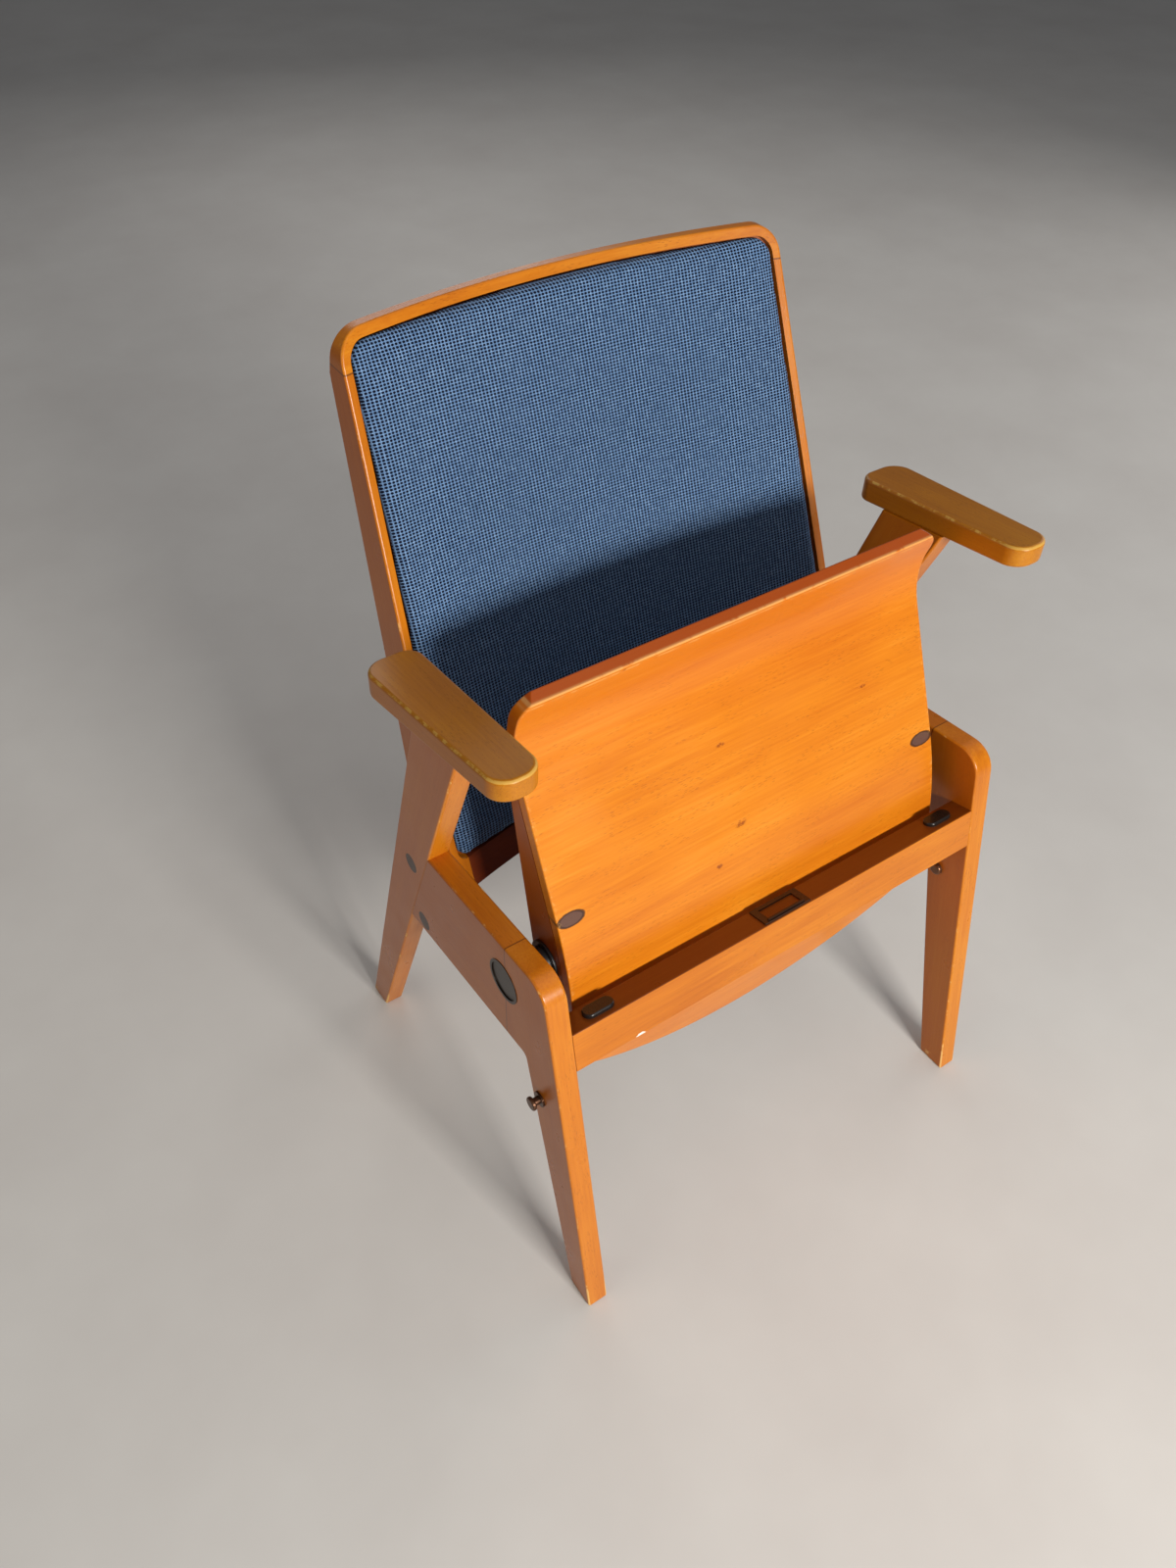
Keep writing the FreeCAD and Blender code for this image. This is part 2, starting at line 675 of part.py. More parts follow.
def in_outline(edge):
    """True for an edge that follows the front view's outline, not one that runs from front to rear."""
    return max(edge.BoundBox.XLength, edge.BoundBox.ZLength) > BACK_ARRIS


def behind_front(edge):
    """How far an edge's middle stands behind the back's front face."""
    middle = edge.valueAt((edge.FirstParameter + edge.LastParameter) / 2)
    return middle.y - back_front(middle.z) - plan_bow(middle.x) / cos(atan(BACK_LEAN))


def back_frame():
    """The back's wooden frame in one piece, before it is divided at its joints."""
    ring = back_slab(back_front, back_rear).common(back_window(0, BACK_FOOT, BACK_CORNER, 0))

    def front_arris(edge):
        above_foot = edge.BoundBox.ZMax > BACK_FOOT + 1
        return above_foot and in_outline(edge) and behind_front(edge) < BACK_ARRIS

    ring = rounded_edges(ring, BACK_ARRIS, front_arris).common(bowed(top_bevel))
    recess = back_slab(lambda z: back_front(z) - PLANK, lambda z: back_front(z) + RECESS)
    ring = ring.cut(recess.common(back_window(RIM, OPENING_FOOT, BACK_CORNER - RIM, OPENING_CORNER)))
    ring = ring.cut(back_window(LEDGE, OPENING_FOOT + RIM, BACK_CORNER - RIM, OPENING_CORNER))
    return ring


def back_pieces():
    """Stiles, top rail and bottom rail, divided where the real frame is jointed."""
    ring = back_frame()
    deep = 2 * POST_SPREAD
    above = Part.makeBox(2 * OUTER, deep, BACK_HEIGHT, V(-OUTER, 0, JOINT_HEIGHT))
    between = back_window(LEDGE, BACK_FOOT - PLANK, 0, 0)
    rail_zone = Part.makeBox(2 * OUTER, deep, SPLAY_START - BOTTOM_RAIL_FOOT, V(-OUTER, 0, BOTTOM_RAIL_FOOT))
    rail_layer = back_slab(back_front, lambda z: back_front(z) + BOTTOM_RAIL_DEPTH)
    pieces = {"back_top_rail": ring.common(above),
              "back_bottom_rail": ring.common(between).common(rail_zone).common(rail_layer)}
    y_behind = post_front(0)
    foot = side_prism([(0, rail_bottom(0) + STILE_FOOT_LIFT, 0),
                       (y_behind, rail_bottom(y_behind) + STILE_FOOT_LIFT, 0),
                       (y_behind, 0, 0),
                       (0, 0, 0)], -OUTER, OUTER)
    half_space = Part.makeBox(OUTER, deep, JOINT_HEIGHT)
    stile = ring.common(half_space).cut(between).cut(foot).cut(screw_bores(1))
    pieces["back_stile_right"] = stile
    pieces["back_stile_left"] = stile.mirror(V(0, 0, 0), V(1, 0, 0))
    return pieces


def back_panel():
    layer = back_slab(lambda z: back_front(z) + RECESS - PANEL_THICK, lambda z: back_front(z) + RECESS)
    inset = RIM + GLUE_GAP
    return layer.common(back_window(inset, OPENING_FOOT + GLUE_GAP, BACK_CORNER - RIM, OPENING_CORNER))


def back_pad():
    """Blue pad set into the rim, with a slight crown."""
    flatter = plan_bow(0) - PAD_CROWN
    radius = (INNER ** 2 + flatter ** 2) / (2 * flatter)
    layer = back_slab(lambda z: back_front(z) - PAD_EDGE_RISE,
                      lambda z: back_front(z) + RECESS - PANEL_THICK - SOFT_GAP, radius)
    inset = RIM + PAD_MARGIN
    pad = layer.common(back_window(inset, OPENING_FOOT + PAD_MARGIN, BACK_CORNER - RIM, OPENING_CORNER))

    half_depth = (RECESS - PANEL_THICK) / 2
    return rounded_edges(pad, PAD_ROUND, lambda edge: in_outline(edge) and behind_front(edge) < half_depth)


def screw_spots():
    return ((post_front(UPPER_SCREW) + UPPER_SCREW_BEHIND, UPPER_SCREW),
            (post_front(LOWER_SCREW) + LOWER_SCREW_BEHIND, LOWER_SCREW))


def back_screw(side, y, z, gap):
    outer = side * (OUTER - PLUG_THICK)
    head = rod(SCREW_HEAD_RADIUS + gap, y, z, outer, -side * SCREW_HEAD_THICK)
    shank = rod(SCREW_RADIUS + gap, y, z, outer, -side * SCREW_LENGTH)
    return head.fuse(shank)


def plug(side, y, z):
    return rod(PLUG_RADIUS, y, z, side * (OUTER - PLUG_THICK), side * PLUG_THICK)


def screw_bores(side):
    """Everything that the back's screws and plugs take out of one side of the seat."""
    bores = []
    for y, z in screw_spots():
        bores.append(back_screw(side, y, z, GLUE_GAP))
        bores.append(rod(PLUG_RADIUS + GLUE_GAP, y, z, side * (OUTER - PLUG_THICK),
                         side * (PLUG_THICK + OVERCUT)))
    return Part.makeCompound(bores)


def stud_y():
    return leg_front(STUD_HEIGHT) + STUD_BEHIND_FRONT


def link_stud(side):
    """Spool headed stud that a neighbouring seat's link drops over."""
    y = stud_y()
    neck_start = OUTER + STUD_WASHER_THICK
    shank = rod(STUD_RADIUS, y, STUD_HEIGHT, side * (INNER - NUT_THICK / 2),
                side * (neck_start + STUD_NECK - INNER + NUT_THICK / 2))
    washer = rod(STUD_WASHER_RADIUS, y, STUD_HEIGHT, side * OUTER, side * STUD_WASHER_THICK)
    head = rod(STUD_HEAD_RADIUS, y, STUD_HEIGHT, side * (neck_start + STUD_NECK), side * STUD_HEAD_THICK)
    head = rounded_edges(head, STUD_HEAD_THICK / 3, lambda edge: edge.BoundBox.XLength < 1e-6)
    return shank.fuse(washer).fuse(head).removeSplitter()


def link_nut(side):
    """Domed nut on the inner end of a link stud."""
    y = stud_y()
    nut = rod(NUT_RADIUS, y, STUD_HEIGHT, side * INNER, -side * NUT_THICK)
    nut = rounded_edges(nut, NUT_THICK / 2,
                        lambda edge: edge.BoundBox.XLength < 1e-6 and abs(edge.BoundBox.XMin) < INNER - 1)
    depth = NUT_THICK / 2 + SHANK_END_GAP
    return nut.cut(rod(STUD_RADIUS + GLUE_GAP, y, STUD_HEIGHT, side * (INNER + OVERCUT), -side * (depth + OVERCUT)))


def all_pieces():
    """Every piece of the seat by name, in the builder's frame."""
    pieces = {"cross_rail": cross_rail(),
              "label_holder": label_holder(),
              "up_stop_buffers": up_stops(),
              "seat_shell": seat_shell(),
              "seat_pad": seat_pad(),
              "back_panel": back_panel(),
              "back_pad": back_pad()}
    pieces.update(back_pieces())
    arm_pegs = []
    cross_pegs = []
    plugs = []
    screws = []
    for name, side in SIDES:
        pieces["front_leg_" + name] = front_leg(side)
        pieces["side_rail_" + name] = side_rail(side)
        pieces["rear_post_" + name] = rear_post(side)
        pieces["armrest_" + name] = armrest(side)
        pieces["stop_bumper_" + name] = bumper(side)
        pieces["pivot_cap_" + name] = pivot_cap(side)
        pieces["pivot_bush_" + name] = pivot_bush(side)
        pieces["pivot_pin_" + name] = pivot_pin(side)
        pieces["pivot_boss_" + name] = pivot_boss(side)
        pieces["seat_cheek_" + name] = seat_cheek(side)
        pieces["link_stud_" + name] = link_stud(side)
        pieces["link_nut_" + name] = link_nut(side)
        arm_pegs.append(arm_dowels(side, 0))
        cross_pegs.append(cross_dowels(side, 0))
        for y, z in screw_spots():
            plugs.append(plug(side, y, z))
            screws.append(back_screw(side, y, z, 0).removeSplitter())
    pieces["armrest_dowels"] = Part.makeCompound(arm_pegs)
    pieces["cross_rail_dowels"] = Part.makeCompound(cross_pegs)
    pieces["screw_plugs"] = Part.makeCompound(plugs)
    pieces["back_screws"] = Part.makeCompound(screws)
    return pieces


def main():
    os.makedirs("parts", exist_ok=True)
    pieces = all_pieces()
    whole = FreeCAD.BoundBox()
    for shape in pieces.values():
        whole.add(shape.optimalBoundingBox(False, False))
    middle = (whole.YMin + whole.YMax) / 2
    for name, shape in pieces.items():
        solids = [solid.copy() for solid in shape.Solids]
        for solid in solids:
            solid.translate(V(0, -middle, 0))
        kept = solids[0] if len(solids) == 1 else Part.makeCompound(solids)
        valid = all(solid.isValid() for solid in solids)
        print("%-22s %d solid(s) %10.1f mm3 %s" % (name, len(solids), kept.Volume, "" if valid else "INVALID"))
        kept.exportStep("parts/%s.step" % name)
    print("overall %.1f x %.1f x %.1f" % (whole.XLength, whole.YLength, whole.ZLength))
    print("seat pivot at y %.3f z %.3f" % (PIVOT_Y - middle, PIVOT_Z))
    print("link stud at x %.3f y %.3f z %.3f" % (OUTER, stud_y() - middle, STUD_HEIGHT))
    print("front foot middle y %.3f, rear foot middle y %.3f" % (LEG_TOE / 2 - middle,
                                                               POST_SPREAD + POST_FOOT / 2 - middle))


main()
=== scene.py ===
import bpy
from mathutils import Matrix, Vector


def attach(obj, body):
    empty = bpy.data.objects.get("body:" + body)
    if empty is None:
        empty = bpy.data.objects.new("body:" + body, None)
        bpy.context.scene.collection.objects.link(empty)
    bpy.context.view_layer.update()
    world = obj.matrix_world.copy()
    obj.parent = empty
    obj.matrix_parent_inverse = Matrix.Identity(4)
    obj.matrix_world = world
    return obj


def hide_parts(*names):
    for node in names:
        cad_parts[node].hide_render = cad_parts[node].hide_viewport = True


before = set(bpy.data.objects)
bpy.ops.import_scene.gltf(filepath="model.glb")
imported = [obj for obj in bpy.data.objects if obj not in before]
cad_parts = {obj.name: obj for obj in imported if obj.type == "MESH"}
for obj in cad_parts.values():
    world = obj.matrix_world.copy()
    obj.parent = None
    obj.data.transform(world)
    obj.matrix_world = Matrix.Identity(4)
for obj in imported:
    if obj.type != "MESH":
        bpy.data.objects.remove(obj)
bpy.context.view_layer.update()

# Places that follow the model, in metres
STRIKE_X = 0.2106
STRIKE_Z = 0.4608
LIP_Z = 0.6678
JOINT_Z = 0.827
KNEE_JOINT_Y = -0.0982
ARM_TIP_Y = -0.132
FOOT_WEAR_Z = 0.05

# Directions of the grain. CROSS_GRAIN is tilted a little, because without that its cross
# product with SIDE_FACE would be zero.
BACK_LEAN = 0.385
LEG_GRAIN = (0, 0.2, 1)
RAIL_GRAIN = (0, 1, -0.115)
POST_GRAIN = (0, -0.35, 1)
ARM_GRAIN = (0, 1, -0.13)
CROSS_GRAIN = (1, 0, 0.001)
BACK_RISE = (0, BACK_LEAN, 1)
SEAT_RISE = (0, 0.4, 1)
SIDE_FACE = Vector((1, 0, 0))

# The cloth's weave, in metres
HOLE_PITCH = 0.0035
ROW_PITCH = 0.0027

# The photograph's camera, solved from the edges of the side frames
FOCAL_PIXELS = 1248.123
PHOTO_HEIGHT = 1600
SENSOR = 36
CAMERA_PLACE = (-0.58793, -0.651367, 1.28964)
CAMERA_RIGHT = Vector((0.826043, -0.562947, 0.027258))
CAMERA_DOWN = Vector((-0.384001, -0.597548, -0.703903))
CAMERA_FORWARD = Vector((0.412548, 0.570987, -0.709773))

# Name, place, target, size, watts and colour
LAMPS = (
    ("window", (-0.12, -2.75, 1.46), (0, 0.1, 0.60), (0.9, 0.42), 104, (1.0, 0.97, 0.92)),
    ("wall_bounce", (-2.4, 0.2, 1.6), (0, 0, 0.4), (2.2, 2.2), 11, (1.0, 0.93, 0.82)),
    ("rear_window", (0.9, 3.0, 2.0), (0, 0.1, 0.5), (1.8, 1.2), 15, (1.0, 0.98, 0.96)),
    ("right_wall", (2.9, 0.3, 1.5), (0, 0, 0.4), (2.0, 2.0), 16, (1.0, 0.98, 0.95)),
    ("ceiling", (0.6, -0.6, 3.0), (0, 0, 0), (2.0, 2.0), 9, (1.0, 1.0, 1.0)),
)
SKY_COLOUR = (0.92, 0.95, 1.0, 1)
SKY_STRENGTH = 0.12
FLOOR_SIZE = 12
FLOOR_DROP = 0.0005

# Cloth simulation of the pads
MERGE_DISTANCE = 0.00001
SWELL_FRAMES = 20

# Dents in the shell: middle x and z, half length and half height
DENTS = (
    (-0.0205, 0.468, 0.007, 0.0035),
    (-0.0514, 0.4385, 0.004, 0.0025),
    (-0.0276, 0.5441, 0.005, 0.002),
    (0.1436, 0.5364, 0.004, 0.0018),
    (-0.1277, 0.6635, 0.0024, 0.0012),
)
STRIKE_HALF_SIZE = (0.0138, 0.0064)
CHIP_PLACE = (-0.177, 0.3425)
CHIP_HALF_SIZE = (0.0045, 0.0022)


# Shader maths

class Field:
    """An output socket of a finish; Python's operators extend it with Math nodes."""

    def __init__(self, finish, socket):
        self.finish = finish
        self.socket = socket

    def maths(self, operation, *values):
        made = self.finish.add("Math", dict(enumerate(values)), operation=operation)
        return Field(self.finish, made.outputs[0])

    def __add__(self, other):
        return self.maths("ADD", self, other)

    def __sub__(self, other):
        return self.maths("SUBTRACT", self, other)

    def __rsub__(self, other):
        return self.maths("SUBTRACT", other, self)

    def __mul__(self, other):
        return self.maths("MULTIPLY", self, other)

    def __truediv__(self, other):
        return self.maths("DIVIDE", self, other)

    def __abs__(self):
        return self.maths("ABSOLUTE", self)

    def fraction(self):
        return self.maths("FRACT", self)

    def root(self):
        return self.maths("SQRT", self)

    def most(self, other):
        return self.maths("MAXIMUM", self, other)

    def rise(self, start, end):
        """0 before start and 1 after end, eased between; start may be above end."""
        made = self.finish.add("MapRange", {"Value": self, "From Min": start, "From Max": end},
                               interpolation_type="SMOOTHSTEP")
        return Field(self.finish, made.outputs[0])


class Finish:
    """One material: its nodes, all added by add(), and its shader."""

    def __init__(self, name):
        self.material = bpy.data.materials.new(name)
        self.material.use_nodes = True
        self.tree = self.material.node_tree
        self.shader = self.tree.nodes["Principled BSDF"]
        coordinates = self.add("TexCoord", {})
        self.place = Field(self, coordinates.outputs["Object"])
        self.facing = Field(self, coordinates.outputs["Normal"])

    def add(self, kind, inputs, stops=None, **settings):
        """Adds a node, makes its settings and feeds its sockets, named or numbered."""
        made = self.tree.nodes.new("ShaderNode" + kind)
        for name, value in settings.items():
            setattr(made, name, value)
        if stops:
            elements = made.color_ramp.elements
            while len(elements) < len(stops):
                elements.new(0.5)
            for element, (position, colour) in zip(elements, stops):
                element.position = position
                element.color = (*colour, 1)
        for name, value in inputs.items():
            self.feed(made.inputs[name], value)
        return made

    def feed(self, socket, value):
        if isinstance(value, Field):
            self.tree.links.new(value.socket, socket)
        elif socket.type == "RGBA":
            socket.default_value = (*value, 1)
        else:
            socket.default_value = value

    def parts(self, vector):
        made = self.add("SeparateXYZ", {0: vector})
        return [Field(self, output) for output in made.outputs]

    def vector(self, x, y, z):
        return Field(self, self.add("CombineXYZ", {0: x, 1: y, 2: z}).outputs[0])

    def along(self, direction):
        """How far a point lies along a direction."""
        made = self.add("VectorMath", {0: self.place, 1: direction}, operation="DOT_PRODUCT")
        return Field(self, made.outputs["Value"])

    def noise(self, vector, scale, detail=2.0, roughness=0.5, distortion=0.0):
        made = self.add("TexNoise", {"Vector": vector, "Scale": scale, "Detail": detail,
                                     "Roughness": roughness, "Distortion": distortion})
        return Field(self, made.outputs[0])

    def cells(self, vector, scale):
        made = self.add("TexVoronoi", {"Vector": vector, "Scale": scale})
        return Field(self, made.outputs["Distance"])

    def ramp(self, value, *stops):
        return Field(self, self.add("ValToRGB", {0: value}, stops=stops).outputs[0])

    def blend(self, share, under, over):
        made = self.add("Mix", {0: share, 6: under, 7: over}, data_type="RGBA")
        return Field(self, made.outputs[2])

    def bump(self, height, strength, distance):
        made = self.add("Bump", {"Height": height, "Strength": strength, "Distance": distance})
        return Field(self, made.outputs[0])

    def wear(self, colour, rough, normal=None, **constants):
        """Feeds the shader and returns the material."""
        self.feed(self.shader.inputs["Base Color"], colour)
        self.feed(self.shader.inputs["Roughness"], rough)
        if normal is not None:
            self.feed(self.shader.inputs["Normal"], normal)
        for name, value in constants.items():
            socket = name.replace("_", " ").title().replace("Ior", "IOR")
            self.feed(self.shader.inputs[socket], value)
        return self.material


def tone(red, green, blue):
    """A colour as seen on a screen, 0 to 255, as shader values."""
    return tuple((c / 255 / 12.92) if c < 10.5 else ((c / 255 + 0.055) / 1.055) ** 2.4
                 for c in (red, green, blue))


# Wood

AMBER = (tone(170, 88, 10), tone(192, 110, 16), tone(208, 132, 30))
HONEY = (tone(188, 98, 10), tone(206, 120, 20), tone(218, 142, 42))
# Painted shade: a darker, duller olive copy of the beech for the armrests, whose tops catch only
# the dim room light
OLIVE_PAINTED_SHADE = (tone(156, 90, 4), tone(178, 110, 8), tone(194, 130, 20))
DULL = (tone(134, 62, 12), tone(152, 76, 16), tone(168, 92, 26))
# Painted shade: a darker copy of the beech for the back's bottom rail, for the seat's shadow that
# falls on it
BOTTOM_RAIL_SHADE = (tone(96, 38, 14), tone(112, 46, 16), tone(128, 58, 22))
BARE = tone(226, 186, 116)
ARM_BARE = tone(212, 172, 82)
LIP_BARE = tone(228, 180, 108)
# Painted shade for the sides of the planks, which face across and catch little of the light
SIDE_SHADE_BROWN = tone(160, 80, 14)
SEAM_BROWN = tone(88, 42, 14)
SPECK_BROWN = tone(74, 46, 14)
# Painted shade for the cross rail's top, which the low light from the front misses
RAIL_TOP_SHADE = tone(84, 30, 10)
CHIP_PAINT = tone(226, 222, 212)
STRIKE_GREY = tone(66, 54, 56)
STRIKE_EDGE = tone(36, 22, 20)
SHELL_ORANGE = tone(200, 98, 6)
DENT_BROWN = tone(120, 44, 8)
END_BROWN = tone(156, 60, 2)


def grain_frame(finish, direction):
    """Coordinates along the grain, across it and into the board."""
    along = Vector(direction).normalized()
    across = along.cross(SIDE_FACE).normalized()
    deep = along.cross(across)
    return finish.along(along), finish.along(across), finish.along(deep)


def wood_colour(finish, direction, shades, seed, streak=1.0):
    """Lacquered beech: soft bands along the grain, with short dark ray flecks and pores.
    Returns the colour and a height for the bump."""
    run, across, deep = grain_frame(finish, direction)
    slow = finish.vector(run * 1.6 + seed, across * 17, deep * 17)
    bands = finish.noise(slow, 1.5, 4.0, 0.55, 0.6)
    fine = finish.noise(finish.vector(run * 9 + seed, across * 240, deep * 240), 1.6, 3.0, 0.6)
    cloud = finish.noise(finish.vector(run + seed, across, deep), 5.5, 2.0)
    mixed = bands * 0.44 * streak + cloud * 0.32 + fine * 0.28 + (0.18 - 0.20 * streak)
    colour = finish.ramp(mixed, (0.34, shades[0]), (0.52, shades[1]), (0.70, shades[2]))
    flecks = finish.cells(finish.vector(run * 120 + seed, across * 760, deep * 760), 1.0)
    patches = finish.noise(finish.vector(run * 6 + seed, across * 30, deep * 30), 3.0, 1.0)
    fleck = flecks.rise(0.34, 0.16) * patches.rise(0.42, 0.62)
    colour = finish.blend(fleck * 0.45, colour, tuple(c * 0.55 for c in shades[0]))
    pores = finish.noise(finish.vector(run * 70 + seed, across * 900, deep * 900), 1.3, 2.0)
    return colour, fine * 0.5 + pores * 0.5 - fleck * 0.35


def lacquer(finish, colour, grain, dull=None, rough=0.30):
    """Old satin lacquer over wood, with uneven gloss. It is duller where dull is high."""
    smears = finish.noise(finish.place, 21.0, 3.0, 0.6)
    gloss = smears * 0.16 + (rough - 0.08)
    if dull is not None:
        gloss = gloss + dull * 0.35
    normal = finish.bump(grain, 0.16, 0.0006)
    return finish.wear(colour, gloss, normal, coat_weight=0.08, coat_roughness=0.2,
                       specular_ior_level=0.32)


def worn(finish, colour, mask, pale=BARE, speckle=60.0, amount=0.7):
    """Lacquer rubbed off where mask is high, broken up by noise.
    Returns the colour and the share bared."""
    ragged = finish.noise(finish.place, speckle, 5.0, 0.7)
    bare = (mask + ragged - 1.0).rise(0.0, 0.12) * amount
    return finish.blend(bare, colour, pale), bare


def arris_of_plank(finish):
    """High on a side frame's rounded arrises, where the face turns from side to edge."""
    sideways = abs(finish.parts(finish.facing)[0])
    return sideways.rise(0.12, 0.45) * sideways.rise(0.985, 0.88)


def arris_of_arm(finish):
    """High on the rounded arris round an armrest's top."""
    up = finish.parts(finish.facing)[2]
    return up.rise(0.25, 0.5) * up.rise(0.985, 0.90)


def painted_side_shade(finish, colour, amount):
    """Painted shade: the sides of a plank, which face across and catch little light, made duller
    and browner than its edges.
    """
    sideways = abs(finish.parts(finish.facing)[0]).rise(0.80, 0.97)
    return finish.blend(sideways * amount, colour, SIDE_SHADE_BROWN)


def seamed(finish, colour, axis, place):
    """A thin dark line where a piece ends at its neighbour, square to axis 1 (Y) or 2 (Z)."""
    off = abs(finish.parts(finish.place)[axis] - place)
    return finish.blend(off.rise(0.0009, 0.0004) * 0.75, colour, SEAM_BROWN)


def oval(finish, x, z, middle_x, middle_z, half_x, half_z):
    """Distance from an oval's middle, 1 on its rim."""
    across = (x - middle_x) / half_x
    up = (z - middle_z) / half_z
    return (across * across + up * up).root()


def plank_finish(name, direction, seed, shades=AMBER, foot_wear=True, seam=None):
    """Plank of the frames or the back: sides darkened with painted shade, worn arrises and a worn
    foot.
    """
    finish = Finish(name)
    colour, grain = wood_colour(finish, direction, shades, seed)
    # Painted shade on the plank's sides
    colour = painted_side_shade(finish, colour, 0.6)
    if seam:
        colour = seamed(finish, colour, *seam)
    mask = arris_of_plank(finish) * 0.44
    if foot_wear:
        mask = mask + finish.parts(finish.place)[2].rise(FOOT_WEAR_Z, 0.0) * 0.45
    colour, bare = worn(finish, colour, mask)
    return lacquer(finish, colour, grain, bare)


def arm_finish(name, seed):
    """Armrest: darker olive shades painted for the dim room light on its tops, painted shade on
    its sides, speckled, rubbed pale on its arris and scuffed at the tip.
    """
    finish = Finish(name)
    colour, grain = wood_colour(finish, ARM_GRAIN, OLIVE_PAINTED_SHADE, seed, 0.7)
    colour = painted_side_shade(finish, colour, 0.35)
    specks = finish.cells(finish.place, 420.0).rise(0.22, 0.10)
    colour = finish.blend(specks * 0.30, colour, SPECK_BROWN)
    tip = finish.parts(finish.place)[1].rise(-0.100, ARM_TIP_Y)
    mask = arris_of_arm(finish) * 0.53 + tip * arris_of_arm(finish) * 0.16
    colour, bare = worn(finish, colour, mask, ARM_BARE, 110.0, 0.6)
    return lacquer(finish, colour, grain, bare, 0.36)


def cross_rail_finish():
    """Cross rail: bright face, a dark red-brown top that is painted shade, and a chip of pale
    paint low on its face.
    """
    finish = Finish("cross_rail_beech")
    colour, grain = wood_colour(finish, CROSS_GRAIN, AMBER, 15.5)
    x, _, z = finish.parts(finish.place)
    # Painted shade: the rail's upward face is darkened because the light comes in low from the
    # front
    up = finish.parts(finish.facing)[2].rise(0.6, 0.9)
    colour = finish.blend(up * 0.80, colour, RAIL_TOP_SHADE)
    ragged = finish.noise(finish.place, 420.0, 3.0, 0.7) * 0.9
    spot = oval(finish, x, z, *CHIP_PLACE, *CHIP_HALF_SIZE) + ragged - 0.45
    chip = spot.rise(1.15, 0.95)
    colour = finish.blend(chip, colour, CHIP_PAINT)
    return lacquer(finish, colour, grain)


def shell_finish():
    """Plywood seat: bands across, strike marks from the bumpers, dents and a rubbed lip."""
    finish = Finish("seat_shell_beech")
    colour, grain = wood_colour(finish, CROSS_GRAIN, HONEY, 21.5, 0.8)
    x, y, z = finish.parts(finish.place)
    dents = 0.0
    for dent in DENTS:
        dents = oval(finish, x, z, *dent).rise(1.2, 0.5) + dents
    ragged = finish.noise(finish.place, 240.0, 3.0, 0.7)
    strike = oval(finish, abs(x), z, STRIKE_X, STRIKE_Z, *STRIKE_HALF_SIZE) + ragged * 0.20 - 0.10
    outline = strike.rise(0.78, 0.90) * strike.rise(1.12, 1.0)
    colour = finish.blend(strike.rise(1.0, 0.86) * 0.90, colour, STRIKE_GREY)
    colour = finish.blend(outline * 0.85, colour, STRIKE_EDGE)
    colour = finish.blend(z.rise(0.54, 0.66) * 0.45, colour, SHELL_ORANGE)
    colour = finish.blend(dents * ragged.rise(0.40, 0.56) * 0.75, colour, DENT_BROWN)
    end = finish.parts(finish.facing)[2].rise(0.55, 0.85) * z.rise(LIP_Z - 0.004, LIP_Z)
    colour = finish.blend(end * 0.85, colour, END_BROWN)
    broken = finish.noise(finish.vector(x * 26, y, z * 30), 1.6, 4.0, 0.7)
    first = z.rise(LIP_Z - 0.0022, LIP_Z - 0.0008) * z.rise(LIP_Z + 0.0014, LIP_Z + 0.0004)
    second = z.rise(LIP_Z - 0.0062, LIP_Z - 0.0052) * z.rise(LIP_Z - 0.0034, LIP_Z - 0.0044)
    rubbed = (first * broken.rise(0.34, 0.48)).most(second * broken.rise(0.42, 0.54))
    sideways = abs(finish.parts(finish.facing)[0])
    under = abs(x).rise(0.2195, 0.2235) * sideways.rise(0.8, 0.5) * ragged.rise(0.52, 0.66)
    colour = finish.blend(rubbed.most(under * 0.7) * 0.45, colour, LIP_BARE)
    return lacquer(finish, colour, grain - dents * 2.0, rubbed, 0.32)


# Camera, light and floor

def camera():
    data = bpy.data.cameras.new("photo_view")
    data.sensor_width = SENSOR
    data.lens = FOCAL_PIXELS * SENSOR / PHOTO_HEIGHT
    data.clip_start = 0.05
    turn = Matrix((CAMERA_RIGHT, -CAMERA_DOWN, -CAMERA_FORWARD)).transposed().to_4x4()
    made = bpy.data.objects.new("photo_view", data)
    made.matrix_world = Matrix.Translation(CAMERA_PLACE) @ turn
    bpy.context.scene.collection.objects.link(made)
    bpy.context.scene.camera = made


def lamp(name, place, target, size, watts, colour):
    data = bpy.data.lights.new(name, "AREA")
    data.shape = "RECTANGLE"
    data.size, data.size_y = size
    data.energy = watts
    data.color = colour
    made = bpy.data.objects.new(name, data)
    made.location = place
    made.rotation_mode = "QUATERNION"
    made.rotation_quaternion = (Vector(target) - Vector(place)).to_track_quat("-Z", "Y")
    bpy.context.scene.collection.objects.link(made)


def studio():
    bpy.ops.object.select_all(action="DESELECT")
    bpy.ops.mesh.primitive_plane_add(size=FLOOR_SIZE, location=(0, 0, -FLOOR_DROP))
    floor = bpy.context.active_object
    floor.name = "floor"
    bpy.ops.object.transform_apply(location=True, rotation=True, scale=True)
    finish = Finish("pale_floor")
    mottle = finish.noise(finish.place, 3.0, 4.0, 0.6)
    colour = finish.ramp(mottle, (0.3, tone(200, 196, 192)), (0.7, tone(208, 205, 201)))
    floor.data.materials.append(finish.wear(colour, 0.55))
    world = bpy.data.worlds.new("soft_room")
    bpy.context.scene.world = world
    world.use_nodes = True
    sky = world.node_tree.nodes["Background"]
    sky.inputs["Color"].default_value = SKY_COLOUR
    sky.inputs["Strength"].default_value = SKY_STRENGTH
    for settings in LAMPS:
        lamp(*settings)


# Pads

def select_only(piece):
    bpy.ops.object.select_all(action="DESELECT")
    bpy.context.view_layer.objects.active = piece
    piece.select_set(True)


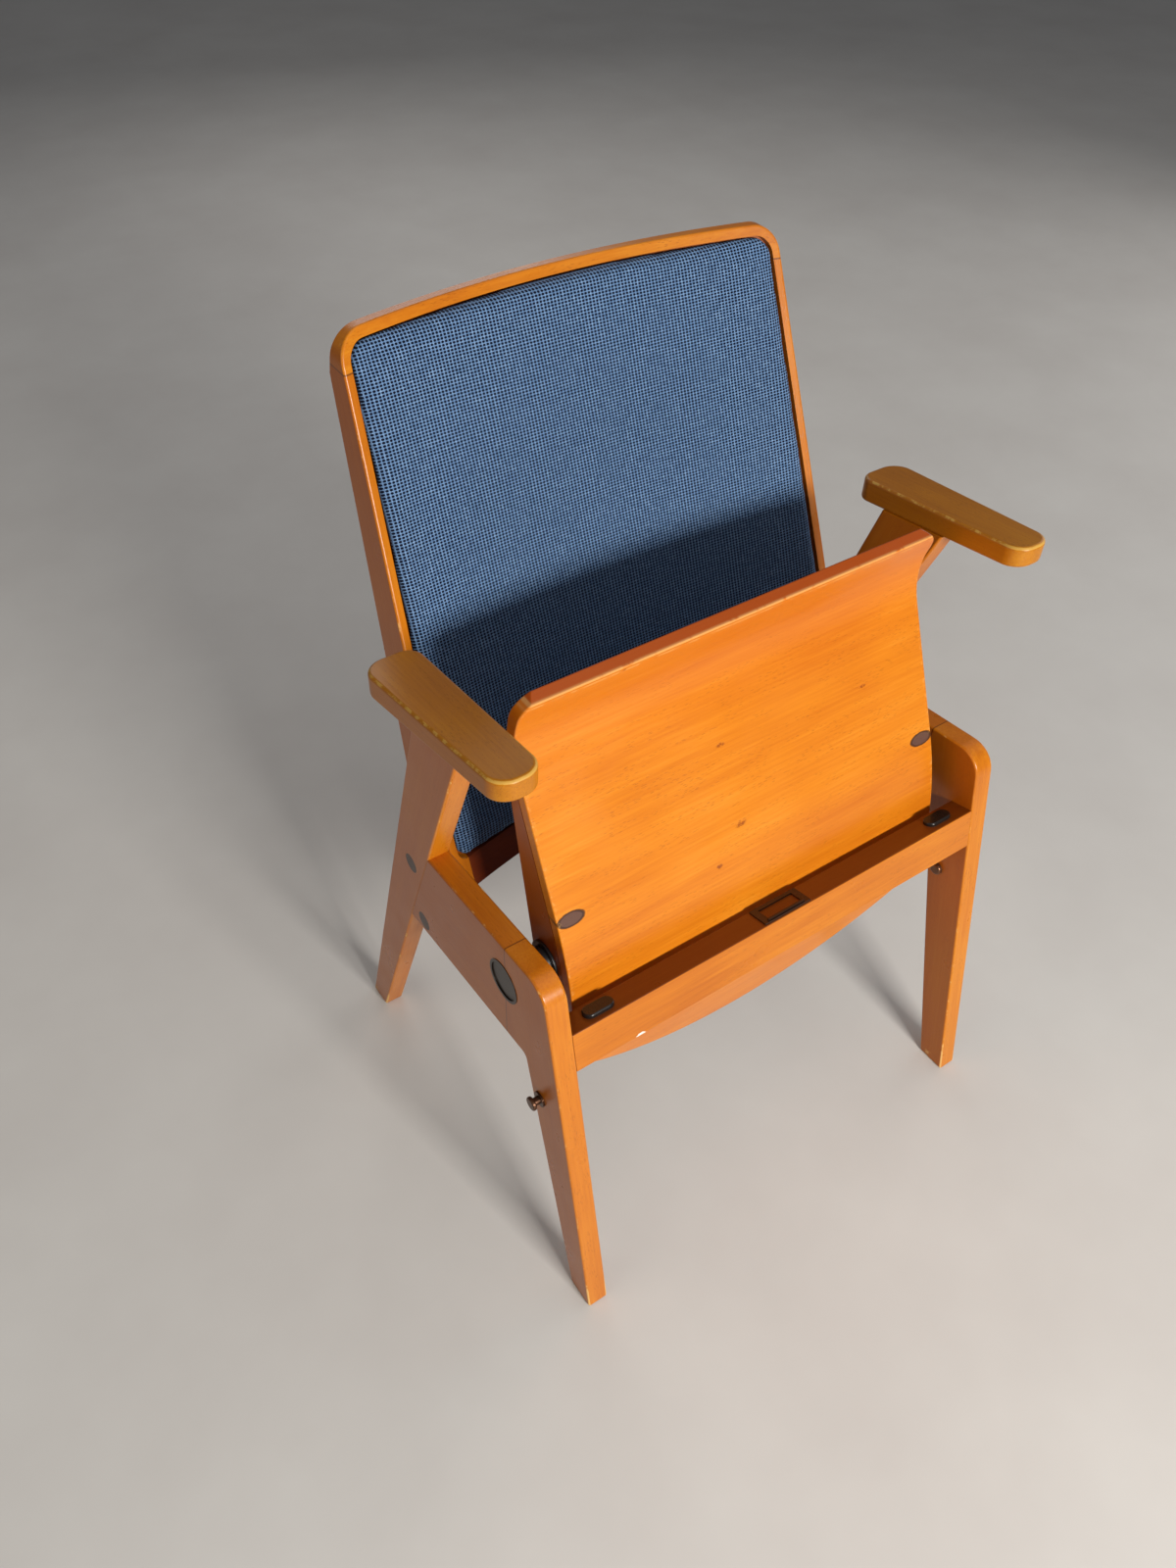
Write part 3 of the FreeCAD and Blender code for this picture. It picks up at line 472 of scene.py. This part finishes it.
def apply(piece, name, kind, **settings):
    """Adds a modifier, sets it and applies it."""
    select_only(piece)
    modifier = piece.modifiers.new(name, kind)
    for key, value in settings.items():
        setattr(modifier, key, value)
    bpy.ops.object.modifier_apply(modifier=name)


def pad_from(node, name, shrink, voxel, cap, pressure):
    """A stuffed pad, blown up as cloth from a node's solid, which is first drawn in by shrink,
    or let out where shrink is negative."""
    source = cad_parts[node]
    pad = bpy.data.objects.new(name, source.data.copy())
    bpy.context.scene.collection.objects.link(pad)
    select_only(pad)
    pad.data.materials.clear()
    bpy.ops.object.mode_set(mode="EDIT")
    bpy.ops.mesh.select_all(action="SELECT")
    bpy.ops.mesh.remove_doubles(threshold=MERGE_DISTANCE)
    bpy.ops.object.mode_set(mode="OBJECT")
    apply(pad, "remesh", "REMESH", mode="VOXEL", voxel_size=voxel)
    apply(pad, "ease", "SMOOTH", factor=0.5, iterations=6)
    apply(pad, "draw_in", "DISPLACE", strength=-shrink, mid_level=0.0)
    swell(pad, cap, pressure)
    apply(pad, "settle", "SMOOTH", factor=0.5, iterations=3)
    select_only(pad)
    bpy.ops.object.shade_smooth()
    return pad


def swell(pad, cap, pressure):
    """Blows the pad up as cloth and keeps each point within cap of where it started."""
    start = [vertex.co.copy() for vertex in pad.data.vertices]
    modifier = pad.modifiers.new("cloth", "CLOTH")
    settings = modifier.settings
    settings.use_pressure = True
    settings.uniform_pressure_force = pressure
    settings.effector_weights.gravity = 0
    modifier.collision_settings.use_collision = False
    scene = bpy.context.scene
    for step in range(1, SWELL_FRAMES + 1):
        scene.frame_set(step)
    swollen = pad.evaluated_get(bpy.context.evaluated_depsgraph_get())
    moved = [vertex.co.copy() for vertex in swollen.to_mesh().vertices]
    swollen.to_mesh_clear()
    pad.modifiers.remove(modifier)
    scene.frame_set(1)
    for vertex, before, after in zip(pad.data.vertices, start, moved):
        shift = after - before
        if shift.length > cap:
            shift = shift.normalized() * cap
        vertex.co = before + shift


def cloth_finish(name, up):
    """Denim blue open weave: rows of small dark holes between pale threads.
    The rows are stacked along up."""
    finish = Finish(name)
    drift = finish.noise(finish.place, 3.2, 2.0)
    flat = finish.vector(finish.along((0, 0, 1)), 0.0, finish.along((1, 0, 0)))
    pull = finish.noise(flat, 3.6, 1.0)
    u = finish.along((1, 0, 0)) / HOLE_PITCH + drift * 2.4
    w = finish.along(Vector(up).normalized()) / ROW_PITCH + pull * 3.6
    uneven = finish.noise(finish.place, 240.0, 2.0)
    du = u.fraction() - 0.5
    dw = w.fraction() - 0.5
    radius = (du * du + dw * dw).root() + (uneven - 0.5) * 0.06
    hole = radius.rise(0.44, 0.33)
    fuzz = finish.noise(finish.place, 900.0, 2.0, 0.7)
    thread = finish.ramp(fuzz * 0.7 + uneven * 0.3, (0.26, tone(62, 90, 126)),
                         (0.52, tone(100, 132, 172)), (0.78, tone(152, 182, 216)))
    colour = finish.blend(hole, thread, tone(5, 10, 30))
    normal = finish.bump(1.0 - hole + fuzz * 0.35, 0.5, 0.0008)
    return finish.wear(colour, 0.92, normal, sheen_weight=0.15, sheen_roughness=0.5,
                       sheen_tint=tone(150, 170, 205), specular_ior_level=0.15)


# Metal, rubber and hidden pieces: node, material, colour, roughness and metallic.
# The name of the side is added to the first two of each row of SIDED.
SIDED = (
    ("stop_bumper_", "bumper_rubber_", tone(30, 26, 24), 0.25, 0.0),
    ("pivot_cap_", "pivot_cap_enamel_", tone(46, 34, 24), 0.33, 0.4),
    ("pivot_boss_", "pivot_boss_black_", tone(24, 23, 24), 0.35, 0.0),
    ("pivot_pin_", "pivot_pin_steel_", tone(150, 150, 150), 0.3, 1.0),
    ("pivot_bush_", "pivot_bush_nylon_", tone(220, 214, 198), 0.5, 0.0),
    ("link_stud_", "link_stud_bronze_", tone(96, 66, 48), 0.35, 0.8),
    ("link_nut_", "link_nut_bronze_", tone(120, 84, 60), 0.35, 0.8),
)
SINGLE = (
    ("label_holder", "label_holder_bronze", tone(66, 44, 32), 0.25, 0.4),
    ("up_stop_buffers", "buffer_rubber", tone(30, 29, 29), 0.6, 0.0),
    ("armrest_dowels", "dowel_beech", tone(206, 168, 120), 0.6, 0.0),
    ("cross_rail_dowels", "cross_dowel_beech", tone(206, 168, 120), 0.6, 0.0),
    ("screw_plugs", "plug_beech", tone(70, 44, 30), 0.35, 0.3),
    ("back_screws", "screw_steel", tone(150, 150, 150), 0.3, 1.0),
)


def dress(node, material):
    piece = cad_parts[node]
    piece.data.materials.clear()
    piece.data.materials.append(material)


def simple(name, colour, rough, metallic):
    """One colour, slightly mottled."""
    finish = Finish(name)
    mottle = finish.noise(finish.place, 60.0, 3.0, 0.6)
    dark = tuple(c * 0.75 for c in colour)
    shade = finish.ramp(mottle, (0.3, dark), (0.7, colour))
    return finish.wear(shade, mottle * 0.15 + (rough - 0.07), finish.bump(mottle, 0.05, 0.0005),
                       metallic=metallic)


def dress_plank(node, material, direction, seed, **settings):
    dress(node, plank_finish(material, direction, seed, **settings))


camera()
studio()

knee_seam = (1, KNEE_JOINT_Y)
top_seam = (2, JOINT_Z)
for number, side in enumerate(("left", "right")):
    dress_plank("front_leg_" + side, "front_leg_beech_" + side, LEG_GRAIN, 1.3 + number,
                seam=knee_seam)
    dress_plank("side_rail_" + side, "side_rail_beech_" + side, RAIL_GRAIN, 3.7 + number,
                foot_wear=False, seam=knee_seam)
    dress_plank("rear_post_" + side, "rear_post_beech_" + side, POST_GRAIN, 6.1 + number)
    dress("armrest_" + side, arm_finish("armrest_beech_" + side, 8.9 + number))
    dress_plank("back_stile_" + side, "back_stile_beech_" + side, BACK_RISE, 11.2 + number,
                foot_wear=False, seam=top_seam)
    dress_plank("seat_cheek_" + side, "seat_cheek_beech_" + side, LEG_GRAIN, 13.4 + number,
                shades=DULL, foot_wear=False)
    for node, material, *look in SIDED:
        dress(node + side, simple(material + side, *look))
dress("cross_rail", cross_rail_finish())
dress_plank("back_top_rail", "back_top_rail_beech", CROSS_GRAIN, 17.5,
            foot_wear=False, seam=top_seam)
# The back's bottom rail is painted darker for the seat's shadow on it
dress_plank("back_bottom_rail", "back_bottom_rail_beech", CROSS_GRAIN, 19.5,
            shades=BOTTOM_RAIL_SHADE, foot_wear=False)
dress("seat_shell", shell_finish())
dress_plank("back_panel", "back_panel_beech", CROSS_GRAIN, 23.5, shades=DULL, foot_wear=False)
for node, material, *look in SINGLE:
    dress(node, simple(material, *look))

back_pad = pad_from("back_pad", "back_cushion", shrink=-0.0012, voxel=0.0034, cap=0.0016,
                    pressure=4.0)
back_pad.data.materials.append(cloth_finish("back_cushion_cloth", BACK_RISE))
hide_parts("back_pad")
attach(back_pad, "frame")

seat_pad = pad_from("seat_pad", "seat_cushion", shrink=0.002, voxel=0.0048, cap=0.006,
                    pressure=4.0)
seat_pad.data.materials.append(cloth_finish("seat_cushion_cloth", SEAT_RISE))
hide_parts("seat_pad")
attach(seat_pad, "seat")

bpy.context.scene.view_settings.view_transform = "Standard"
